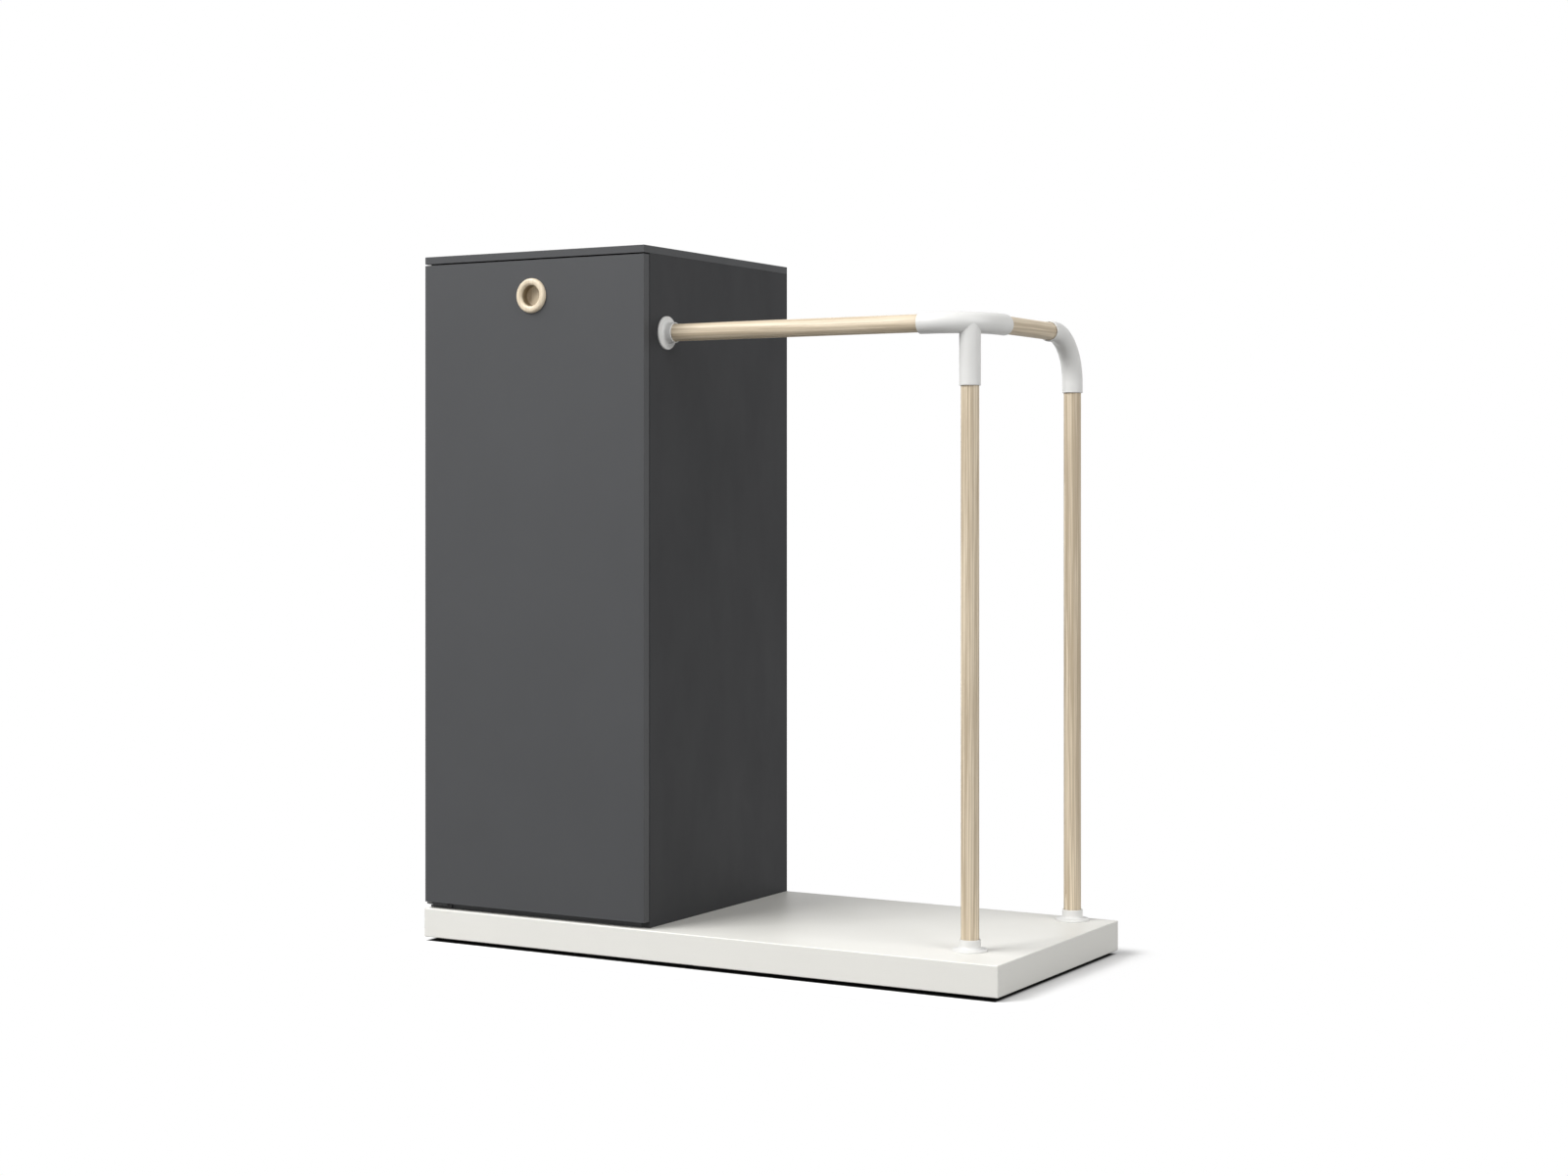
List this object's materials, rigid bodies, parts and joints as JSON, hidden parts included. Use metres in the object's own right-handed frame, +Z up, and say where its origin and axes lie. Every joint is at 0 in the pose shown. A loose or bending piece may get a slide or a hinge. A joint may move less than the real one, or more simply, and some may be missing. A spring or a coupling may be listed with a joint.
{
  "type": "wardrobe",
  "caption": "Low white platform carrying a tall dark cupboard with a pivoting door and ring pull, beside an open wooden coat rail on moulded fittings.",
  "frame": {"origin": "on the floor, below the middle of the whole object's box", "axes": "+X to the right along the front, from the cupboard to the coat rail; +Y from the door to the back; +Z up"},
  "size_m": [1.21, 0.532, 1.31],
  "materials": {
    "graphite_board": "satin dark grey lacquer on board",
    "white_board": "satin warm white lacquer on board",
    "frame_wood": "plain sawn softwood",
    "rail_wood": "pale ash, matt clear finish, straight grain",
    "pull_wood": "pale turned wood, matt clear finish",
    "white_moulding": "satin white moulded plastic",
    "black_plastic": "matt black moulded plastic",
    "white_plastic": "natural white bearing plastic",
    "steel": "bright zinc plated",
    "black_steel": "black powder coat",
    "magnet": "nickel plated",
    "clear_rubber": "clear soft rubber"
  },
  "bodies": {
    "stand": {"left_side_panel": "graphite_board", "right_side_panel": "graphite_board", "top_panel": "graphite_board", "bottom_panel": "graphite_board", "back_panel": "graphite_board", "shelf_1": "graphite_board", "shelf_2": "graphite_board", "shelf_3": "graphite_board", "platform_deck": "white_board", "platform_front_apron": "white_board", "platform_back_apron": "white_board", "platform_left_apron": "white_board", "platform_right_apron": "white_board", "platform_rib_1": "frame_wood", "platform_rib_2": "frame_wood", "platform_rib_3": "frame_wood", "glide_blocks": "frame_wood", "carcass_pegs": "frame_wood", "front_rail": "rail_wood", "depth_rail": "rail_wood", "front_post": "rail_wood", "rear_post": "rail_wood", "wall_flange": "white_moulding", "front_foot_flange": "white_moulding", "rear_foot_flange": "white_moulding", "corner_fitting": "white_moulding", "elbow_fitting": "white_moulding", "glides": "black_plastic", "magnet_catch": "black_plastic", "glide_screws": "steel", "base_screws": "steel", "back_panel_screws": "steel", "shelf_pins": "steel", "cam_bolts": "steel", "cam_housings": "steel", "top_pivot_pin": "steel", "bottom_pivot_pin": "steel", "catch_screws": "steel", "set_screws": "steel", "rail_wall_screw": "steel", "post_foot_screws": "steel", "end_washers": "steel", "pivot_bracket": "black_steel", "pivot_bracket_screws": "black_steel", "catch_magnet": "magnet", "door_bumpers": "clear_rubber"},
    "door": {"door_panel": "graphite_board", "ring_pull": "pull_wood", "door_top_bush": "white_plastic", "door_bottom_bush": "white_plastic", "strike_plate": "steel", "strike_screws": "steel"}
  },
  "joints": [
    {"name": "door_pivot", "type": "hinge", "parent": "stand", "child": "door", "pos_m": [-0.597, -0.25, 0.68375], "axis": [0, 0, -1], "range_deg": [0, 105]}
  ]
}
